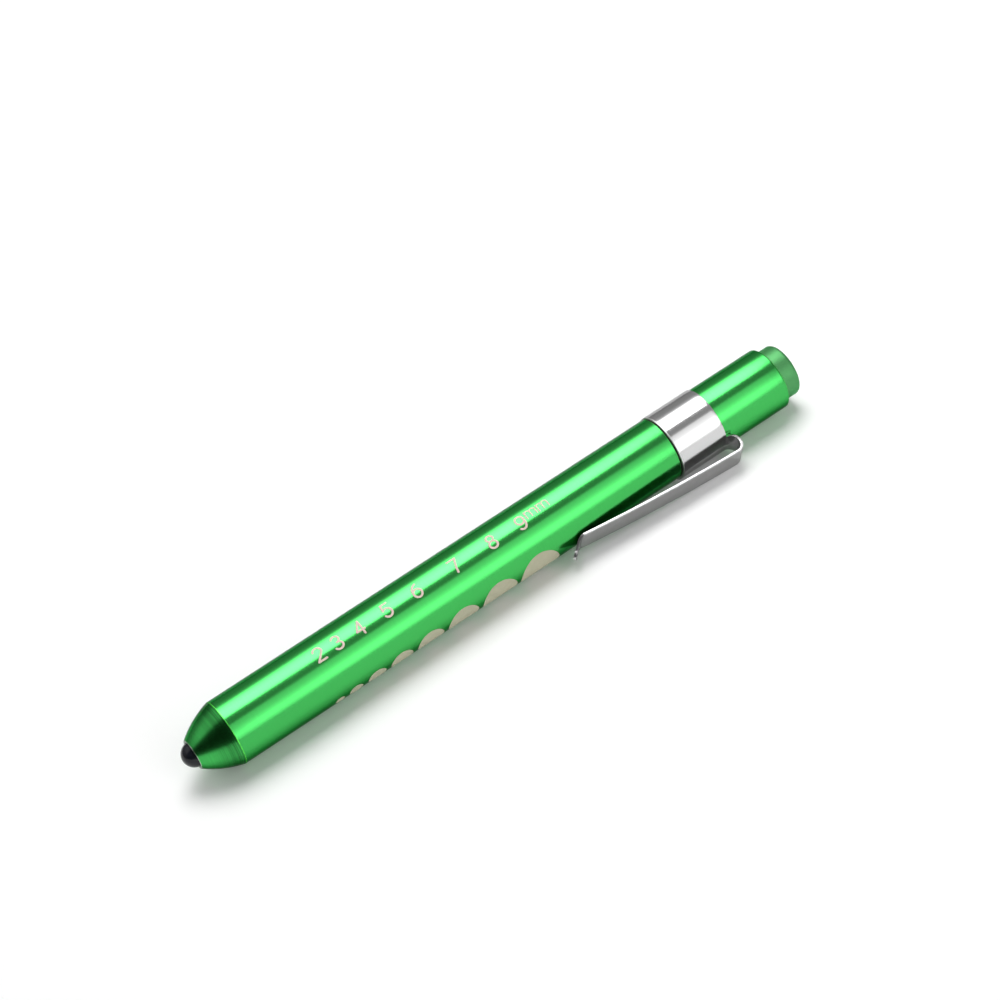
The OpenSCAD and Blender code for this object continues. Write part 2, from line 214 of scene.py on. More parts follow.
# Handling: faint cloudy marks where hands have dulled or darkened a surface
handling, handling_in, handling_out = shader_group(
    "handling",
    [
        ("Color", "NodeSocketColor", (0.5, 0.5, 0.5, 1)),
        ("Roughness", "NodeSocketFloat", 0.2),
        ("Clouds per mm", "NodeSocketFloat", 0.2),
        ("Dulling", "NodeSocketFloat", 0.05),
        ("Darkening", "NodeSocketFloat", 0.1),
    ],
    [("Color", "NodeSocketColor"), ("Roughness", "NodeSocketFloat")],
)
handling_place = add_node(handling, "ShaderNodeTexCoord")
handling_scale = add_math(handling, "MULTIPLY", handling_in.outputs["Clouds per mm"], 1 / MM)
handling_noise = add_node(
    handling, "ShaderNodeTexNoise",
    {"Vector": handling_place.outputs["Object"], "Scale": handling_scale, "Detail": 5.0,
     "Roughness": 0.6},
)
handling_dull = add_math(
    handling, "MULTIPLY_ADD",
    handling_noise, handling_in.outputs["Dulling"], handling_in.outputs["Roughness"],
)
handling_dark = add_math(handling, "MULTIPLY", handling_noise, handling_in.outputs["Darkening"])
handling_mix = add_node(
    handling, "ShaderNodeMix",
    {"Factor": handling_dark, "A": handling_in.outputs["Color"], "B": (0, 0, 0, 1)},
    data_type="RGBA",
)
handling.links.new(handling_mix.outputs["Result"], handling_out.inputs["Color"])
handling.links.new(handling_dull.outputs[0], handling_out.inputs["Roughness"])

# Edge band: a thin, patchy band at one place along the pen, added to the mask that comes in. It
# places the painted highlights and dulling on edges, and the rim's pale band
edge_band, band_in, band_out = shader_group(
    "edge_band",
    [
        ("Mask", "NodeSocketFloat", 0.0),
        ("Place mm", "NodeSocketFloat", 0.0),
        ("Width mm", "NodeSocketFloat", 0.1),
    ],
    [("Mask", "NodeSocketFloat")],
)
band_place = add_node(edge_band, "ShaderNodeTexCoord")
band_split = add_node(edge_band, "ShaderNodeSeparateXYZ", {0: band_place.outputs["Object"]})
band_x = add_math(edge_band, "MULTIPLY_ADD", band_split.outputs["X"], 1 / MM, pen_middle)
band_off = add_math(edge_band, "SUBTRACT", band_x, band_in.outputs["Place mm"])
band_far = add_math(edge_band, "ABSOLUTE", band_off)
band_share = add_math(edge_band, "DIVIDE", band_far, band_in.outputs["Width mm"])
band_near = add_fade(edge_band, band_share, start=0.4, end=1.0, low=1.0, high=0.0)
band_noise = add_node(
    edge_band, "ShaderNodeTexNoise",
    {"Vector": band_place.outputs["Object"], "Scale": 1.3 / MM, "Detail": 3.0},
)
band_patchy = add_fade(edge_band, band_noise, start=0.3, end=0.6, low=0.35, high=1.0)
band_here = add_math(edge_band, "MULTIPLY", band_near, band_patchy)
band_any = add_math(edge_band, "MAXIMUM", band_here, band_in.outputs["Mask"])
edge_band.links.new(band_any.outputs[0], band_out.inputs["Mask"])


def new_finish(name, color, roughness, clouds=0.2, dulling=0.05, darkening=0.1, **sockets):
    """Material with a Principled shader whose colour and roughness carry handling marks."""
    finish = bpy.data.materials.new(name)
    finish.use_nodes = True
    tree = finish.node_tree
    shader = tree.nodes["Principled BSDF"]
    for key, value in sockets.items():
        shader.inputs[key.replace("_", " ")].default_value = value
    marks = add_node(
        tree, "ShaderNodeGroup",
        {"Color": (*color, 1), "Roughness": roughness, "Clouds per mm": clouds,
         "Dulling": dulling, "Darkening": darkening},
        name="handling_marks", node_tree=handling,
    )
    tree.links.new(marks.outputs["Color"], shader.inputs["Base Color"])
    tree.links.new(marks.outputs["Roughness"], shader.inputs["Roughness"])
    return finish


def add_relief(finish, height, depth, strength=1.0):
    """Bump of a depth in mm on a material's Principled shader, from a node or a socket."""
    tree = finish.node_tree
    bump = add_node(
        tree, "ShaderNodeBump", {"Strength": strength, "Distance": depth * MM, "Height": height}
    )
    tree.links.new(bump.outputs[0], tree.nodes["Principled BSDF"].inputs["Normal"])


barrel_r = 6.65
barrel_end = 110.59
rim_x, rim_r = 2.15, 3.0
crease_x = 9.45
nose_arc_r = 20
lens_hole_r = 2.55
flange_seat_r, flange_seat_x = 2.95, 7.55
bore_r, bore_x = 5.5, 8.6
thread_bore_r, thread_bore_x = 5.8, 105.84
hole_round, rim_round, crease_round = 0.06, 0.07, 0.5
rear_round, thread_mouth_round = 0.12, 0.1

nose_chord = Vector((crease_x - rim_x, barrel_r - rim_r))
nose_inward = Vector((nose_chord.y, -nose_chord.x)).normalized()
chord_middle = (Vector((rim_x, rim_r)) + Vector((crease_x, barrel_r))) / 2
chord_depth = math.sqrt(nose_arc_r ** 2 - nose_chord.length_squared / 4)
nose_centre = chord_middle + nose_inward * chord_depth
nose_from = math.atan2(rim_r - nose_centre.y, rim_x - nose_centre.x)
nose_to = math.atan2(barrel_r - nose_centre.y, crease_x - nose_centre.x)
nose_steps = 24
nose_flank = [
    (nose_centre.x + nose_arc_r * math.cos(a), nose_centre.y + nose_arc_r * math.sin(a))
    for a in (nose_from + (nose_to - nose_from) * k / nose_steps for k in range(nose_steps + 1))
]
barrel_outline = [
    (rim_x, lens_hole_r), *nose_flank, (barrel_end, barrel_r), (barrel_end, thread_bore_r),
    (thread_bore_x, thread_bore_r), (thread_bore_x, bore_r), (bore_x, bore_r),
    (bore_x, flange_seat_r), (flange_seat_x, flange_seat_r), (flange_seat_x, lens_hole_r),
]
rim_edge, crease_edge = 1, 1 + nose_steps
barrel_rounds = {
    0: hole_round, rim_edge: rim_round, crease_edge: crease_round,
    crease_edge + 1: rear_round, crease_edge + 2: thread_mouth_round,
}
barrel_mesh = turned("barrel_turned", eased(barrel_outline, barrel_rounds))
barrel = new_piece("barrel_turned", barrel_mesh, "barrel", "green_anodised", "barrel")

anodised_green = new_finish(
    "anodised_green", (0.053, 0.47, 0.094), 0.15, clouds=0.12, dulling=0.06, darkening=0.05,
    Metallic=1.0, Specular_Tint=(0.3, 0.3, 0.32, 1),
    Coat_Weight=0.15, Coat_Roughness=0.08, Coat_IOR=1.5,
)
green_tree = anodised_green.node_tree
green_shader = green_tree.nodes["Principled BSDF"]
green_marks = green_tree.nodes["handling_marks"]

# The nose is left as turned: its lathe lines are deepest near the crease and dull it, their low
# parts darken it with painted shade, and only a trace of them is left on the polished barrel
lines_per_mm, line_depth = 3.6, 0.026
shade_from, shade_to, groove_shade_darkest = 0.25, 0.75, 0.15
polish_blend, polished_share = 0.1, 0.1
line_fade_from, line_fade_to, front_share = 5.0, 1.5, 0.2
nose_dulling = 0.08
crease_off = crease_x - pen_middle
barrel_lines = add_node(
    green_tree, "ShaderNodeGroup", {"Lines per mm": lines_per_mm}, node_tree=lathe_lines
)
nose_place = add_node(green_tree, "ShaderNodeTexCoord")
nose_split = add_node(green_tree, "ShaderNodeSeparateXYZ", {0: nose_place.outputs["Object"]})
nose_fade = add_fade(
    green_tree, nose_split.outputs["X"], low=1.0, high=polished_share,
    start=(crease_off - polish_blend) * MM, end=(crease_off + polish_blend) * MM,
)
line_fade = add_fade(
    green_tree, nose_split.outputs["X"], low=front_share, high=1.0,
    start=(crease_off - line_fade_from) * MM, end=(crease_off - line_fade_to) * MM,
)
line_share = add_math(green_tree, "MULTIPLY", nose_fade, line_fade)
nose_lines = add_math(green_tree, "MULTIPLY", barrel_lines, line_share)
add_relief(anodised_green, nose_lines, line_depth)
# Painted shade: the low parts of the lathe lines darken the green, most near the crease
groove_shade_reach = add_fade(green_tree, line_share, start=0.0, end=1.0, low=1.0, high=groove_shade_darkest)
groove_shade = add_fade(green_tree, barrel_lines, shade_from, shade_to, low=groove_shade_reach, high=1.0)
line_shade = add_node(
    green_tree, "ShaderNodeMix", {"Factor": 1.0, "A": green_marks.outputs["Color"], "B": groove_shade},
    data_type="RGBA", blend_type="MULTIPLY",
)
nose_dull = add_math(green_tree, "MULTIPLY", nose_fade, nose_dulling)
green_rough = add_math(green_tree, "ADD", green_marks.outputs["Roughness"], nose_dull)

# The crease, the barrel's rear edge and the tail's end are dulled and carry a painted highlight, a
# bright green line, and the rim is pale grey
tail_end = 137.65
edge_highlight_green, rim_pale_grey = (0.14, 0.9, 0.1, 1), (0.62, 0.68, 0.62, 1)
crease_highlight_w, end_highlight_w, rim_pale_w = 0.11, 0.06, 0.1
tail_highlight_in = 0.1
wear_dulling = 0.25
highlight_edge_places = (
    (crease_x, crease_highlight_w), (barrel_end - rear_round / 2, end_highlight_w),
    (tail_end - tail_highlight_in, end_highlight_w),
)
edge_mask = 0.0
for edge_place, edge_width in highlight_edge_places:
    edge_mask = add_node(
        green_tree, "ShaderNodeGroup",
        {"Mask": edge_mask, "Place mm": edge_place, "Width mm": edge_width}, node_tree=edge_band,
    )
rim_mask = add_node(
    green_tree, "ShaderNodeGroup", {"Place mm": rim_x, "Width mm": rim_pale_w}, node_tree=edge_band
)
# Painted highlight: a bright green line on the crease and on both ends
edge_highlight_color = add_node(
    green_tree, "ShaderNodeMix",
    {"Factor": edge_mask, "A": line_shade.outputs["Result"], "B": edge_highlight_green}, data_type="RGBA",
)
# The rim is coloured a pale grey
rim_color = add_node(
    green_tree, "ShaderNodeMix",
    {"Factor": rim_mask, "A": edge_highlight_color.outputs["Result"], "B": rim_pale_grey}, data_type="RGBA",
)
worn_rough = add_math(green_tree, "MULTIPLY_ADD", edge_mask, wear_dulling, green_rough)
green_tree.links.new(rim_color.outputs["Result"], green_shader.inputs["Base Color"])
green_tree.links.new(worn_rough.outputs[0], green_shader.inputs["Roughness"])
barrel.data.materials.append(anodised_green)


# The gauge: figures 2 to 9 with a unit, and eight discs of those diameters in mm, etched
# through the anodised skin by laser, so that matt bare aluminium shows. They have no
# thickness on the real pen; here each is a thin inlay flush with the skin.
gauge_x = 67.17
gauge_proud, gauge_depth = 0.008, 0.12
figure_turn = math.radians(112.74)
figure_w, figure_h, figure_stroke = 1.7, 2.84, 0.4
unit_w, unit_h, unit_stroke = 2.25, 1.5, 0.28
arc_steps, cap_steps, stroke_step = 14, 5, 0.15
# How far the painted shade under each stroke is shifted towards the nose
stroke_shade_shift = 0.08
# Strokes that cross stand one above the other by this much, so that no two faces coincide
stroke_lift = 0.001


def arc(cx, cy, rx, ry, start, end):
    """Points of an arc in a figure's box, whose sides are 1."""
    return [
        (cx + rx * math.cos(math.radians(start + (end - start) * k / arc_steps)),
         cy + ry * math.sin(math.radians(start + (end - start) * k / arc_steps)))
        for k in range(arc_steps + 1)
    ]


# The strokes of each figure, in a box whose sides are 1
figure_strokes = {
    "2": [arc(0.5, 0.72, 0.5, 0.28, 165, -28) + [(0.0, 0.0)], [(0.0, 0.0), (1.0, 0.0)]],
    "3": [arc(0.46, 0.755, 0.44, 0.245, 155, -88), arc(0.47, 0.255, 0.52, 0.255, 88, -152)],
    "4": [[(0.74, 1.0), (0.0, 0.3)], [(0.0, 0.3), (1.0, 0.3)], [(0.74, 1.0), (0.74, 0.0)]],
    "5": [[(0.92, 1.0), (0.18, 1.0)], [(0.18, 1.0), (0.07, 0.54)],
          arc(0.46, 0.32, 0.52, 0.32, 138, -150)],
    "6": [arc(0.5, 0.31, 0.5, 0.31, 180, -180), arc(0.92, 0.31, 0.92, 0.69, 180, 98)],
    "7": [[(0.0, 1.0), (1.0, 1.0)], [(1.0, 1.0), (0.72, 0.62), (0.52, 0.3), (0.42, 0.0)]],
    "8": [arc(0.5, 0.765, 0.42, 0.235, 270, -90), arc(0.5, 0.265, 0.5, 0.265, 90, -270)],
    "9": [arc(0.5, 0.68, 0.5, 0.32, 0, 360), arc(0.42, 0.46, 0.58, 0.46, 25, -128)],
    "m": [[(0.0, 0.0), (0.0, 1.0)], arc(0.25, 0.7, 0.25, 0.3, 180, 0) + [(0.5, 0.0)],
          arc(0.75, 0.7, 0.25, 0.3, 180, 0) + [(1.0, 0.0)]],
}
# Places along the barrel, in barrel radii from the gauge's middle: of each figure's middle,
# of each letter's start and of each disc's middle
figure_places = {
    "2": -5.49, "3": -4.875, "4": -4.13, "5": -3.2, "6": -2.186, "7": -0.86, "8": 0.428, "9": 1.46,
}
unit_places = (1.7, 2.12)
disc_places = {
    2: -5.54, 3: -4.99, 4: -4.275, 5: -3.425, 6: -2.43, 7: -1.2875, 8: -0.01, 9: 1.4075,
}

etched_pink = new_finish(
    "etched_figures", (0.84, 0.66, 0.58), 0.5, clouds=1.2, dulling=0.2, darkening=0.16,
    Specular_IOR_Level=0.3,
)
# Painted shade: a dark ribbon under each stroke, shifted to its nose side
painted_stroke_shade = new_finish(
    "painted_stroke_shade", (0.2, 0.16, 0.17), 0.55, clouds=1.2, dulling=0.1, darkening=0.2,
)


def on_barrel(u, v, middle_turn, r):
    """Point at u mm along the barrel and v mm up round it from a line at middle_turn."""
    return pen_point(u, r, middle_turn - v / barrel_r)


def etch_stroke(bm, path, stroke, proud, finish):
    """Closed ribbon with round ends along a path of (u, v) points on the barrel."""
    points = [Vector(p) for p in path]
    trail = []
    for a, b in zip(points, points[1:]):
        count = max(1, round((b - a).length / stroke_step))
        trail += [a.lerp(b, k / count) for k in range(count)]
    trail.append(points[-1])
    # A path that comes back to its start is a ring and gets no round ends
    closed = (trail[0] - trail[-1]).length < stroke / 4
    sections = []
    for i, here in enumerate(trail):
        before = trail[i - 1] if i else (trail[-2] if closed else here)
        after = trail[i + 1] if i + 1 < len(trail) else (trail[1] if closed else here)
        sections.append((here, (after - before).normalized(), stroke / 2))
    if not closed:
        start, along_start = trail[0], (trail[1] - trail[0]).normalized()
        end, along_end = trail[-1], (trail[-1] - trail[-2]).normalized()
        for k in range(1, cap_steps):
            sway = math.radians(90 * k / cap_steps)
            width = stroke / 2 * math.cos(sway)
            reach = stroke / 2 * math.sin(sway)
            sections.insert(0, (start - along_start * reach, along_start, width))
            sections.append((end + along_end * reach, along_end, width))
    outer_r, inner_r = barrel_r + proud, barrel_r - gauge_depth
    corners = ((1, outer_r), (0, outer_r), (-1, outer_r), (-1, inner_r), (1, inner_r))
    rings = []
    for here, along, half in sections:
        side = Vector((-along.y, along.x)) * half
        rings.append([
            bm.verts.new(on_barrel(*(here + side * s), figure_turn, r)) for s, r in corners
        ])
    faces = [bm.faces.new(rings[0]), bm.faces.new(rings[-1])]
    for a, b in zip(rings, rings[1:]):
        for k in range(len(corners)):
            after = (k + 1) % len(corners)
            faces.append(bm.faces.new((a[k], a[after], b[after], b[k])))
    for face in faces:
        face.material_index = finish


def etch_figure(name, glyph, u0, v0, width, height, stroke):
    """One figure with its lower left corner at (u0, v0), as an inlay on the barrel. A darker ribbon
    on the nose's side of each stroke is painted shade, as of a groove's shaded wall."""
    bm = bmesh.new()
    for i, path in enumerate(figure_strokes[glyph]):
        place = [(u0 + u * width, v0 + v * height) for u, v in path]
        etch_stroke(bm, place, stroke, gauge_proud + stroke_lift * i, 0)
        # Painted shade: a darker, lower copy of the stroke, shifted towards the nose
        shade = [(u - stroke_shade_shift, v) for u, v in place]
        etch_stroke(bm, shade, stroke, gauge_proud / 2 + stroke_lift * i, 1)
    piece = new_piece(name, finish_mesh(bm, name), "barrel", "green_anodised")
    piece.data.materials.append(etched_pink)
    piece.data.materials.append(painted_stroke_shade)


for glyph, place in figure_places.items():
    u_start = gauge_x + place * barrel_r - figure_w / 2
    etch_figure(
        "figure_" + glyph, glyph, u_start, -figure_h / 2, figure_w, figure_h, figure_stroke
    )
for k, place in enumerate(unit_places):
    u_start = gauge_x + place * barrel_r
    etch_figure(
        "unit_m%d" % (k + 1), "m", u_start, figure_h / 2 - unit_h, unit_w, unit_h, unit_stroke
    )

# The laser's passes over a disc: fine slanted lines side by side
disc_turn = math.radians(213.04)
disc_steps = 72
passes_per_mm, pass_slant, pass_depth = 0.9, math.radians(24), 0.01
etched_disc = new_finish(
    "etched_discs", (0.53, 0.515, 0.37), 0.55, clouds=0.8, dulling=0.15, darkening=0.14,
    Specular_IOR_Level=0.3,
)
disc_tree = etched_disc.node_tree
disc_place = add_node(disc_tree, "ShaderNodeTexCoord")
disc_turned = add_node(
    disc_tree, "ShaderNodeMapping",
    {"Vector": disc_place.outputs["Object"], "Rotation": (0.0, 0.0, pass_slant)},
)
disc_wave = add_node(
    disc_tree, "ShaderNodeTexWave",
    {"Vector": disc_turned, "Scale": passes_per_mm / MM, "Distortion": 0.6, "Detail": 1.0},
)
add_relief(etched_disc, disc_wave.outputs["Fac"], pass_depth, strength=0.6)

for diameter, place in disc_places.items():
    bm = bmesh.new()
    u_middle = gauge_x + place * barrel_r
    ring_count = max(3, diameter)
    rims = []
    for r in (barrel_r + gauge_proud, barrel_r - gauge_depth):
        middle = bm.verts.new(on_barrel(u_middle, 0, disc_turn, r))
        rings = []
        for i in range(1, ring_count + 1):
            reach = diameter / 2 * i / ring_count
            rings.append([
                bm.verts.new(
                    on_barrel(u_middle + reach * math.cos(a), reach * math.sin(a), disc_turn, r)
                )
                for a in (2 * math.pi * k / disc_steps for k in range(disc_steps))
            ])
        for k in range(disc_steps):
            after = (k + 1) % disc_steps
            bm.faces.new((middle, rings[0][k], rings[0][after]))
            for a, b in zip(rings, rings[1:]):
                bm.faces.new((a[k], b[k], b[after], a[after]))
        rims.append(rings[-1])
    rim_out, rim_in = rims
    for k in range(disc_steps):
        after = (k + 1) % disc_steps
        bm.faces.new((rim_out[k], rim_in[k], rim_in[after], rim_out[after]))
    name = "gauge_disc_%d" % diameter
    disc = new_piece(name, finish_mesh(bm, name), "barrel", "green_anodised")
    disc.data.materials.append(etched_disc)


# The lamp: a 5 mm LED cast in clear resin over a black cup, so the dome looks near black
# when it is off. Its flange seats in the nose from behind.
lens_r = 2.5
lens_end = 8.6
lens_flange_r, lens_flange_x, lens_flange_round = 2.9, 7.6, 0.15
dome_steps, lens_steps = 32, 128
# Points on the pen's axis stay a hair off it, so that no spun face is pinched to nothing
on_axis_r = 0.002
dome = [
    (lens_r * (1 - math.cos(a)), max(lens_r * math.sin(a), on_axis_r))
    for a in (math.pi / 2 * k / dome_steps for k in range(dome_steps + 1))
]
lens_outline = [
    *dome, (lens_flange_x, lens_r), (lens_flange_x, lens_flange_r), (lens_end, lens_flange_r),
    (lens_end, on_axis_r),
]
lens_mesh = turned(
    "lamp_dome", eased(lens_outline, {dome_steps + 2: lens_flange_round}), steps=lens_steps
)
lens = new_piece("lamp_dome", lens_mesh, "barrel", "lamp_dome", "led_lens")
dark_resin = new_finish(
    "dark_resin", (0.011, 0.013, 0.018), 0.07, clouds=0.5, dulling=0.06, darkening=0.3,
    IOR=1.52, Specular_IOR_Level=0.2, Coat_Weight=0.2, Coat_Roughness=0.03,
)
lens.data.materials.append(dark_resin)


# The lamp's legs, its plug and the front contact: tinned square wire, a moulded black plug
# that holds the lamp against the nose, and a brass disc that takes the front cell's nub.
def dress(finish, *nodes):
    """Puts a finish on CAD nodes that keep their own shape."""
    for node in nodes:
        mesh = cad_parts[node].data
        mesh.materials.clear()
        mesh.materials.append(finish)


def add_grain(finish, per_mm, detail, depth, strength):
    """Even, fine roughness of the surface as a bump of a depth in mm."""
    grain = add_node(
        finish.node_tree, "ShaderNodeTexNoise", {"Scale": per_mm / MM, "Detail": detail}
    )
    add_relief(finish, grain, depth, strength)


tinned_wire = new_finish(
    "tinned_wire", (0.62, 0.62, 0.6), 0.28, clouds=1.5, dulling=0.15, darkening=0.2, Metallic=1.0,
)
black_plug = new_finish(
    "black_plug", (0.03, 0.03, 0.034), 0.45, clouds=1.0, dulling=0.2, darkening=0.3,
)
add_grain(black_plug, per_mm=6, detail=2.0, depth=0.02, strength=0.4)
turned_brass = new_finish(
    "turned_brass", (0.72, 0.5, 0.18), 0.24, clouds=0.7, dulling=0.12, darkening=0.2, Metallic=1.0,
)
brass_lines = add_node(
    turned_brass.node_tree, "ShaderNodeGroup", {"Lines per mm": 7.0}, node_tree=lathe_lines
)
add_relief(turned_brass, brass_lines, depth=0.01, strength=0.5)
dress(tinned_wire, "led_anode_lead", "led_cathode_lead")
dress(black_plug, "led_holder")
dress(turned_brass, "front_contact")


# The two AAA cells: a plated steel can with its plus nub, a plated minus cover, and a plain
# dark film jacket shrunk over the can and lapped over its ends.
plated_can = new_finish(
    "plated_can", (0.66, 0.66, 0.67), 0.22, clouds=0.6, dulling=0.14, darkening=0.15, Metallic=1.0,
)
shrunk_film = new_finish(
    "shrunk_film", (0.09, 0.1, 0.12), 0.3, clouds=0.5, dulling=0.12, darkening=0.2,
    Coat_Weight=0.4, Coat_Roughness=0.08,
)
add_grain(shrunk_film, per_mm=0.5, detail=2.0, depth=0.05, strength=0.3)
dress(plated_can, "front_cell_can", "rear_cell_can", "front_cell_base", "rear_cell_base")
dress(shrunk_film, "front_cell_sleeve", "rear_cell_sleeve")


# The gasket: a thin black rubber washer that shows as a dark line between barrel and ring.
# It is pushed over the tail's neck and is squeezed as the tail is screwed home.
gasket_from, gasket_to = 110.61, 110.84
gasket_r, gasket_hole_r, gasket_round = 6.525, 6.1, 0.08
gasket_outline = [
    (gasket_from, gasket_hole_r), (gasket_from, gasket_r),
    (gasket_to, gasket_r), (gasket_to, gasket_hole_r),
]
gasket_mesh = turned("gasket_washer", eased(gasket_outline, {1: gasket_round, 2: gasket_round}))
gasket = new_piece("gasket_washer", gasket_mesh, "ring", "black_rubber", "gasket")
black_rubber = new_finish(
    "black_rubber", (0.012, 0.012, 0.012), 0.6, clouds=1.0, dulling=0.2, darkening=0.2,
)
add_grain(black_rubber, per_mm=9, detail=3.0, depth=0.02, strength=0.4)
gasket.data.materials.append(black_rubber)


# The clip: one strip of bright plated spring steel. Its wide end is rolled into the ring on
# the tail's neck; a tongue leaves the ring's rear edge, folds back in a loop, runs forward
# as a slightly bowed arm, touches the barrel at its knee and flares out in a lip.
clip_turn = math.radians(206.5351)
strip_t, strip_edge_r = 0.5, 0.19
loop_half_w, knee_half_w = 2.65, 2.55
ring_from, ring_to = 110.84, 121.48
ring_mid_r, ring_shift = 6.7, 0.15
loop_x, loop_c, loop_r = 121.65, 8.5, 1.65
flat_after = math.radians(110)
arm_drop, arm_turn, arm_bow_r = math.radians(2.90174), math.radians(4.54504), 445
knee_x, knee_c, knee_r = 86.1862, 8.75, 1.8
lip_angle, lip_len, lip_tip_r, lip_tip_half_w = math.radians(38), 3.2, 1.1, 0.12
ring_columns, tongue_columns, ring_rows = 120, 16, 10
loop_steps, arm_steps, knee_steps, lip_steps = 40, 60, 20, 24
clip_toward = Vector((0, math.cos(clip_turn), math.sin(clip_turn)))
clip_across = Vector((0, -math.sin(clip_turn), math.cos(clip_turn)))


def clip_point(x, c, side):
    """Point at x along the pen, c mm from its axis towards the clip and side mm across."""
    return (Vector((x - pen_middle, pen_y, pen_z)) + clip_toward * c + clip_across * side) * MM


def arch_left(share):
    """How much of the ring's arch is left in the tongue, at a share of the way to flat."""
    share = min(max(share, 0), 1)
    return 1 - share * share * (3 - 2 * share)


# Middle line of the tongue as (x, c, normal x, normal c, arch left), with the normal pointing
# out of the loop
tongue_line = [
    (ring_to + (loop_x - ring_to) * k / 2, loop_c - loop_r, 0, -1, 1.0) for k in range(1, 3)
]
for k in range(1, loop_steps + 1):
    a = (math.pi + arm_drop) * k / loop_steps
    tongue_line.append((
        loop_x + loop_r * math.sin(a), loop_c - loop_r * math.cos(a),
        math.sin(a), -math.cos(a), arch_left(a / flat_after),
    ))
arm_centre_x = loop_x - loop_r * math.sin(arm_drop) + arm_bow_r * math.sin(arm_drop)
arm_centre_c = loop_c + loop_r * math.cos(arm_drop) - arm_bow_r * math.cos(arm_drop)
for k in range(1, arm_steps + 1):
    a = arm_drop + arm_turn * k / arm_steps
    tongue_line.append((
        arm_centre_x - arm_bow_r * math.sin(a), arm_centre_c + arm_bow_r * math.cos(a),
        -math.sin(a), math.cos(a), 0.0,
    ))
knee_from = arm_drop + arm_turn
for k in range(1, knee_steps + 1):
    a = knee_from - (knee_from + lip_angle) * k / knee_steps
    tongue_line.append((
        knee_x + knee_r * math.sin(a), knee_c - knee_r * math.cos(a),
        -math.sin(a), math.cos(a), 0.0,
    ))
lip_x, lip_c = tongue_line[-1][:2]
for k in range(1, lip_steps + 1):
    # Rows close up towards the tip, which is round
    reach = lip_len * math.sin(math.pi / 2 * k / lip_steps)
    tongue_line.append((
        lip_x - reach * math.cos(lip_angle), lip_c + reach * math.sin(lip_angle),
        math.sin(lip_angle), math.cos(lip_angle), 0.0,
    ))
tip_x = lip_x - lip_len * math.cos(lip_angle) + lip_tip_r
knee_end_x = knee_x + knee_r * math.sin(knee_from)


def strip_half(x):
    """Half of the strip's width at x: it narrows to the knee and ends in a round tip."""
    if x > loop_x:
        return loop_half_w
    if x > knee_end_x:
        arm_share = (x - knee_end_x) / (loop_x - knee_end_x)
        return knee_half_w + (loop_half_w - knee_half_w) * arm_share
    if x > tip_x:
        return lip_tip_r + (knee_half_w - lip_tip_r) * (x - tip_x) / (knee_end_x - tip_x)
    return max(math.sqrt(max(lip_tip_r ** 2 - (tip_x - x) ** 2, 0)), lip_tip_half_w)


# The ring, with close columns where the tongue leaves it. Each point's place on the flat strip
# is (length along it, distance across it) in mm, for the grain.
clip_bm = bmesh.new()
clip_uv = clip_bm.loops.layers.uv.new("strip")
strip_place = {}
tongue_half_turn = math.asin(loop_half_w / ring_mid_r)
tongue_turns = [
    -tongue_half_turn + 2 * tongue_half_turn * k / tongue_columns for k in range(tongue_columns + 1)
]
ring_turns = tongue_turns[:-1] + [
    tongue_half_turn + (2 * math.pi - 2 * tongue_half_turn) * k / ring_columns
    for k in range(ring_columns)
]
ring_grid = []
for j in range(ring_rows + 1):
    x = ring_from + (ring_to - ring_from) * j / ring_rows
    row = []
    for turn in ring_turns:
        c, side = ring_shift + ring_mid_r * math.cos(turn), ring_mid_r * math.sin(turn)
        vert = clip_bm.verts.new(clip_point(x, c, side))
        strip_place[vert] = (x, ring_mid_r * turn)
        row.append(vert)
    ring_grid.append(row)
for a, b in zip(ring_grid, ring_grid[1:]):
    for k in range(len(ring_turns)):
        after = (k + 1) % len(ring_turns)
        clip_bm.faces.new((a[k], a[after], b[after], b[k]))

# The tongue; where it still has the ring's arch, its edges lie outside the loop as it folds
tongue_row = ring_grid[-1][: tongue_columns + 1]
run = ring_to
last_xc = Vector((ring_to, loop_c - loop_r))
for x, c, nx, nc, arch in tongue_line:
    run += (Vector((x, c)) - last_xc).length
    last_xc = Vector((x, c))
    row = []
    for turn in tongue_turns:
        side = ring_mid_r * math.sin(turn) * strip_half(x) / loop_half_w
        sag = arch * ring_mid_r * (1 - math.cos(turn))
        vert = clip_bm.verts.new(clip_point(x + nx * sag, c + nc * sag, side))
        strip_place[vert] = (run, side)
        row.append(vert)
    for k in range(tongue_columns):
        clip_bm.faces.new((tongue_row[k], tongue_row[k + 1], row[k + 1], row[k]))
    tongue_row = row
for face in clip_bm.faces:
    for loop in face.loops:
        loop[clip_uv].uv = strip_place[loop.vert]

# The sheet gets its thickness and tumbled edges
clip_sheet = bpy.data.objects.new("clip_sheet", finish_mesh(clip_bm, "clip_sheet"))
bpy.context.collection.objects.link(clip_sheet)
thicken = clip_sheet.modifiers.new("thickness", "SOLIDIFY")
thicken.thickness = strip_t * MM
thicken.offset = 0
thicken.use_even_offset = True
soften = clip_sheet.modifiers.new("edges", "BEVEL")
soften.width = strip_edge_r * MM
soften.segments = 4
soften.limit_method = "ANGLE"
soften.angle_limit = math.radians(50)
clip_made = clip_sheet.evaluated_get(bpy.context.evaluated_depsgraph_get())
clip_mesh = bpy.data.meshes.new_from_object(clip_made)
bpy.data.objects.remove(clip_sheet)
clip_mesh.name = "clip_strip"
for face in clip_mesh.polygons:
    face.use_smooth = True
clip_mesh.set_sharp_from_angle(angle=math.radians(40))
clip = new_piece("clip_strip", clip_mesh, None, "bright_steel", "clip_ring", "clip_arm")

